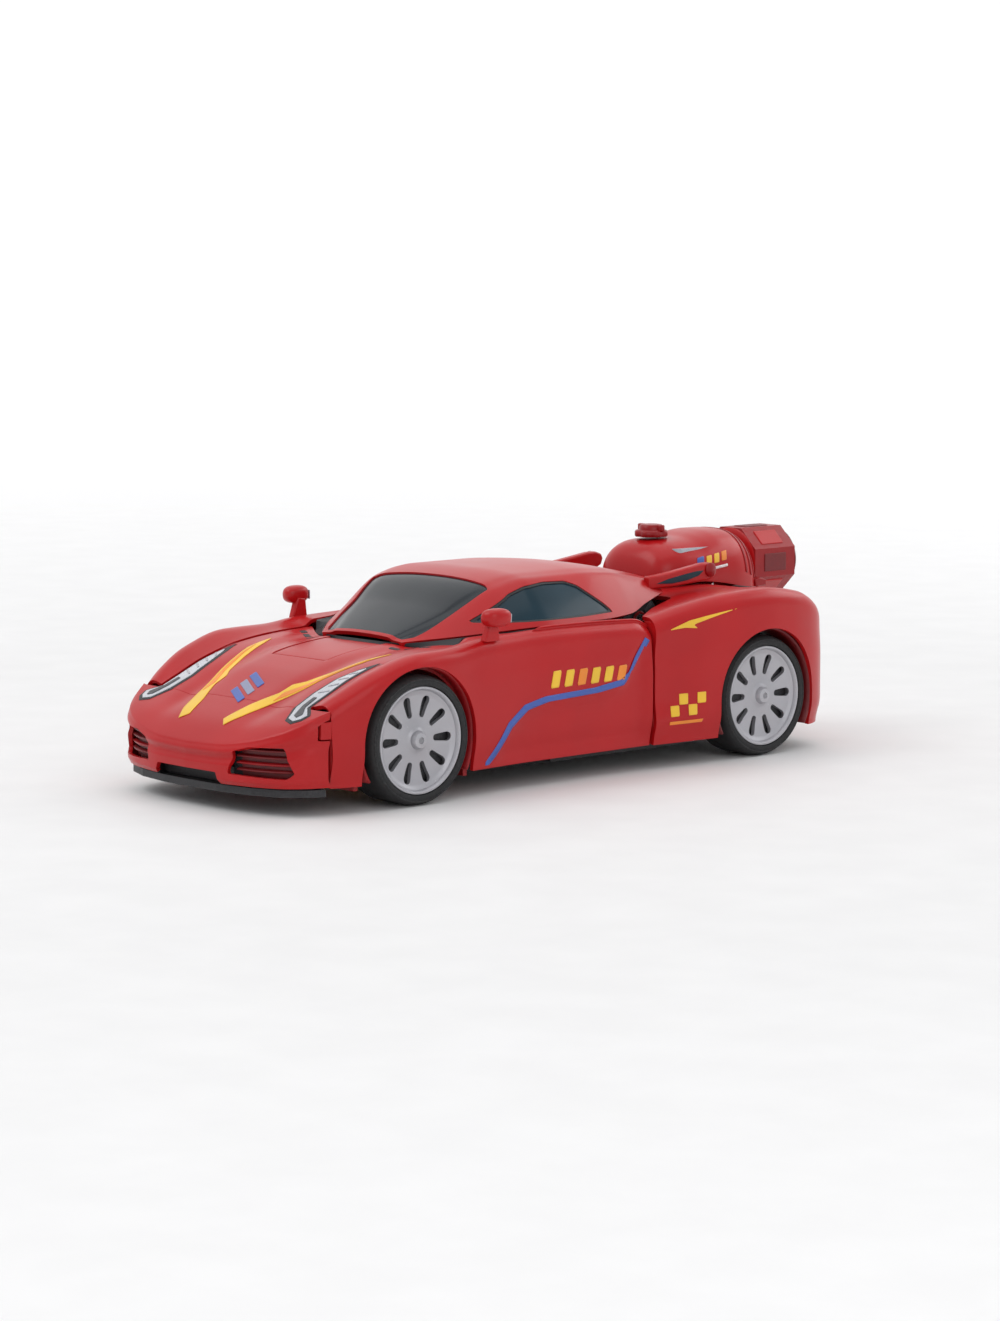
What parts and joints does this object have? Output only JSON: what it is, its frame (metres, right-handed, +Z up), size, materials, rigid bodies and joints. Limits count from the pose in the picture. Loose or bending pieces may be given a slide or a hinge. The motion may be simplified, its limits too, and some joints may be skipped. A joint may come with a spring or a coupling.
{
  "type": "transforming toy robot car",
  "caption": "Low toy sports car with a smoke turbine on its tail that stands its front half up on a folding torso to become a robot.",
  "frame": {"origin": "on the ground plane, under the centre of the outside box of the car, midway between its sides and between the nose and the nozzle tip", "axes": "+X to the car's left, -Y to the front of the car, +Z up; tyres stand on Z = 0; rest pose is car mode"},
  "size_m": [0.114, 0.288, 0.0819],
  "materials": {
    "red_body": "high gloss moulded red",
    "crimson_trim": "gloss moulded crimson",
    "black_plastic": "fine matte grain",
    "grey_plastic": "satin",
    "silver_plastic": "metallic silver paint",
    "yellow_plastic": "gloss moulded yellow",
    "smoked_glazing": "polished smoked liner",
    "lamp_silver": "bright lamp moulding",
    "lamp_red": "polished red lamp",
    "tyre_rubber": "matte tread",
    "steel": "drawn rod",
    "motor_can": "plated can",
    "gear_white": "natural acetal",
    "cell_blue": "heat-shrink wrap",
    "circuit_green": "solder mask",
    "tank_clear": "translucent tank"
  },
  "bodies": {
    "rear_chassis": {"chassis_tub": "black_plastic", "battery_door": "black_plastic", "battery_pack": "cell_blue", "circuit_board": "circuit_green", "drive_motor_left": "motor_can", "drive_motor_right": "motor_can", "lift_motor": "motor_can", "ankle_pin": "steel", "chassis_screws": "steel", "foot_frame": "black_plastic", "rear_body_shell": "red_body", "rear_diffuser": "black_plastic", "tail_lamps": "lamp_red", "turbine_housing": "red_body", "mist_nozzle": "crimson_trim", "water_tank": "tank_clear"},
    "mist_fan": {"mist_fan": "grey_plastic"},
    "filler_cap": {"filler_cap": "crimson_trim"},
    "power_switch": {"power_switch": "black_plastic"},
    "caster_left": {"caster_wheel_left": "silver_plastic"},
    "caster_right": {"caster_wheel_right": "silver_plastic"},
    "rear_wheel_left": {"rear_tyre_left": "tyre_rubber", "rear_rim_left": "silver_plastic", "rear_axle_left": "steel"},
    "rear_wheel_right": {"rear_tyre_right": "tyre_rubber", "rear_rim_right": "silver_plastic", "rear_axle_right": "steel"},
    "drive_pinion_left": {"drive_pinion_left": "gear_white"},
    "drive_pinion_right": {"drive_pinion_right": "gear_white"},
    "lift_pinion": {"lift_pinion": "gear_white"},
    "robot_torso": {"torso_frame": "black_plastic", "thigh_plates": "silver_plastic", "shin_plates": "silver_plastic", "knee_pads": "crimson_trim", "waist_belt": "yellow_plastic", "chest_plate": "crimson_trim", "side_arms": "silver_plastic"},
    "lift_arm": {"lift_arms": "black_plastic", "lift_gear": "gear_white", "lift_shaft": "steel"},
    "canopy": {"canopy_shell": "red_body", "canopy_glass": "smoked_glazing"},
    "hood": {"hood_shell": "red_body", "hood_frame": "black_plastic", "headlights": "lamp_silver", "front_splitter": "black_plastic"},
    "head": {"helmet": "yellow_plastic", "face_mask": "grey_plastic"},
    "front_link_left": {"front_link_left": "black_plastic"},
    "front_link_right": {"front_link_right": "black_plastic"},
    "rear_link_left": {"rear_link_left": "black_plastic"},
    "rear_link_right": {"rear_link_right": "black_plastic"},
    "panel_left": {"side_panel_left": "red_body", "wheel_housing_left": "crimson_trim"},
    "panel_right": {"side_panel_right": "red_body", "wheel_housing_right": "crimson_trim"},
    "front_wheel_left": {"front_tyre_left": "tyre_rubber", "front_rim_left": "silver_plastic"},
    "front_wheel_right": {"front_tyre_right": "tyre_rubber", "front_rim_right": "silver_plastic"}
  },
  "joints": [
    {"name": "torso_lift", "type": "hinge", "parent": "rear_chassis", "child": "robot_torso", "pos_m": [0, -0.006, 0.022], "axis": [-1, 0, 0], "range_deg": [0, 90]},
    {"name": "hood_level", "type": "hinge", "parent": "robot_torso", "child": "hood", "pos_m": [0, -0.129, 0.013], "axis": [1, 0, 0], "range_deg": [0, 90]},
    {"name": "arm_lift", "type": "hinge", "parent": "rear_chassis", "child": "lift_arm", "pos_m": [0, 0.04, 0.051], "axis": [-1, 0, 0], "range_deg": [0, 90]},
    {"name": "canopy_hinge", "type": "hinge", "parent": "rear_chassis", "child": "canopy", "pos_m": [0, 0.076, 0.067], "axis": [-1, 0, 0], "range_deg": [0, 90]},
    {"name": "head_flip", "type": "hinge", "parent": "hood", "child": "head", "pos_m": [0, -0.083, 0.043], "axis": [1, 0, 0], "range_deg": [0, 90]},
    {"name": "front_link_swing_left", "type": "hinge", "parent": "hood", "child": "front_link_left", "pos_m": [0.03, -0.121, 0.0285], "axis": [0, 0, -1], "range_deg": [0, 90]},
    {"name": "front_link_swing_right", "type": "hinge", "parent": "hood", "child": "front_link_right", "pos_m": [-0.03, -0.121, 0.0285], "axis": [0, 0, 1], "range_deg": [0, 90]},
    {"name": "panel_level_left", "type": "hinge", "parent": "front_link_left", "child": "panel_left", "pos_m": [0.03, -0.067, 0.0285], "axis": [0, 0, 1], "range_deg": [0, 90]},
    {"name": "panel_level_right", "type": "hinge", "parent": "front_link_right", "child": "panel_right", "pos_m": [-0.03, -0.067, 0.0285], "axis": [0, 0, -1], "range_deg": [0, 90]},
    {"name": "rear_link_swing_left", "type": "hinge", "parent": "hood", "child": "rear_link_left", "pos_m": [0.03, -0.096, 0.0205], "axis": [0, 0, -1], "range_deg": [0, 90]},
    {"name": "rear_link_swing_right", "type": "hinge", "parent": "hood", "child": "rear_link_right", "pos_m": [-0.03, -0.096, 0.0205], "axis": [0, 0, 1], "range_deg": [0, 90]},
    {"name": "lift_pinion_spin", "type": "hinge", "parent": "rear_chassis", "child": "lift_pinion", "pos_m": [0, 0.051, 0.0394], "axis": [-1, 0, 0], "range_deg": [-270, 0]},
    {"name": "front_wheel_spin_left", "type": "hinge", "parent": "panel_left", "child": "front_wheel_left", "pos_m": [0.045, -0.086, 0.022], "axis": [1, 0, 0], "continuous": true},
    {"name": "front_wheel_spin_right", "type": "hinge", "parent": "panel_right", "child": "front_wheel_right", "pos_m": [-0.045, -0.086, 0.022], "axis": [1, 0, 0], "continuous": true},
    {"name": "rear_wheel_spin_left", "type": "hinge", "parent": "rear_chassis", "child": "rear_wheel_left", "pos_m": [0.045, 0.082, 0.022], "axis": [1, 0, 0], "continuous": true},
    {"name": "rear_wheel_spin_right", "type": "hinge", "parent": "rear_chassis", "child": "rear_wheel_right", "pos_m": [-0.045, 0.082, 0.022], "axis": [1, 0, 0], "continuous": true},
    {"name": "drive_pinion_spin_left", "type": "hinge", "parent": "rear_chassis", "child": "drive_pinion_left", "pos_m": [0.026, 0.07465, 0.02817], "axis": [1, 0, 0], "continuous": true},
    {"name": "drive_pinion_spin_right", "type": "hinge", "parent": "rear_chassis", "child": "drive_pinion_right", "pos_m": [-0.026, 0.07465, 0.02817], "axis": [1, 0, 0], "continuous": true},
    {"name": "caster_spin_left", "type": "hinge", "parent": "rear_chassis", "child": "caster_left", "pos_m": [0.02, -0.05, 0.0052], "axis": [1, 0, 0], "continuous": true},
    {"name": "caster_spin_right", "type": "hinge", "parent": "rear_chassis", "child": "caster_right", "pos_m": [-0.02, -0.05, 0.0052], "axis": [1, 0, 0], "continuous": true},
    {"name": "filler_cap_twist", "type": "hinge", "parent": "rear_chassis", "child": "filler_cap", "pos_m": [0, 0.077, 0.078], "axis": [0, 0, 1], "range_deg": [0, 90]},
    {"name": "power_switch_slide", "type": "slide", "parent": "rear_chassis", "child": "power_switch", "axis": [1, 0, 0], "range_m": [0, 0.003]},
    {"name": "mist_fan_spin", "type": "hinge", "parent": "rear_chassis", "child": "mist_fan", "pos_m": [0, 0.13, 0.065], "axis": [0, 1, 0], "continuous": true}
  ],
  "couplings": [
    {"joint": "hood_level", "follows": "torso_lift", "ratio": 1},
    {"joint": "arm_lift", "follows": "torso_lift", "ratio": 1},
    {"joint": "canopy_hinge", "follows": "torso_lift", "ratio": 1},
    {"joint": "head_flip", "follows": "torso_lift", "ratio": 1},
    {"joint": "front_link_swing_left", "follows": "torso_lift", "ratio": 1},
    {"joint": "front_link_swing_right", "follows": "torso_lift", "ratio": 1},
    {"joint": "panel_level_left", "follows": "torso_lift", "ratio": 1},
    {"joint": "panel_level_right", "follows": "torso_lift", "ratio": 1},
    {"joint": "rear_link_swing_left", "follows": "torso_lift", "ratio": 1},
    {"joint": "rear_link_swing_right", "follows": "torso_lift", "ratio": 1},
    {"joint": "lift_pinion_spin", "follows": "torso_lift", "ratio": -3},
    {"joint": "drive_pinion_spin_left", "follows": "rear_wheel_spin_left", "ratio": -3},
    {"joint": "drive_pinion_spin_right", "follows": "rear_wheel_spin_right", "ratio": -3}
  ]
}
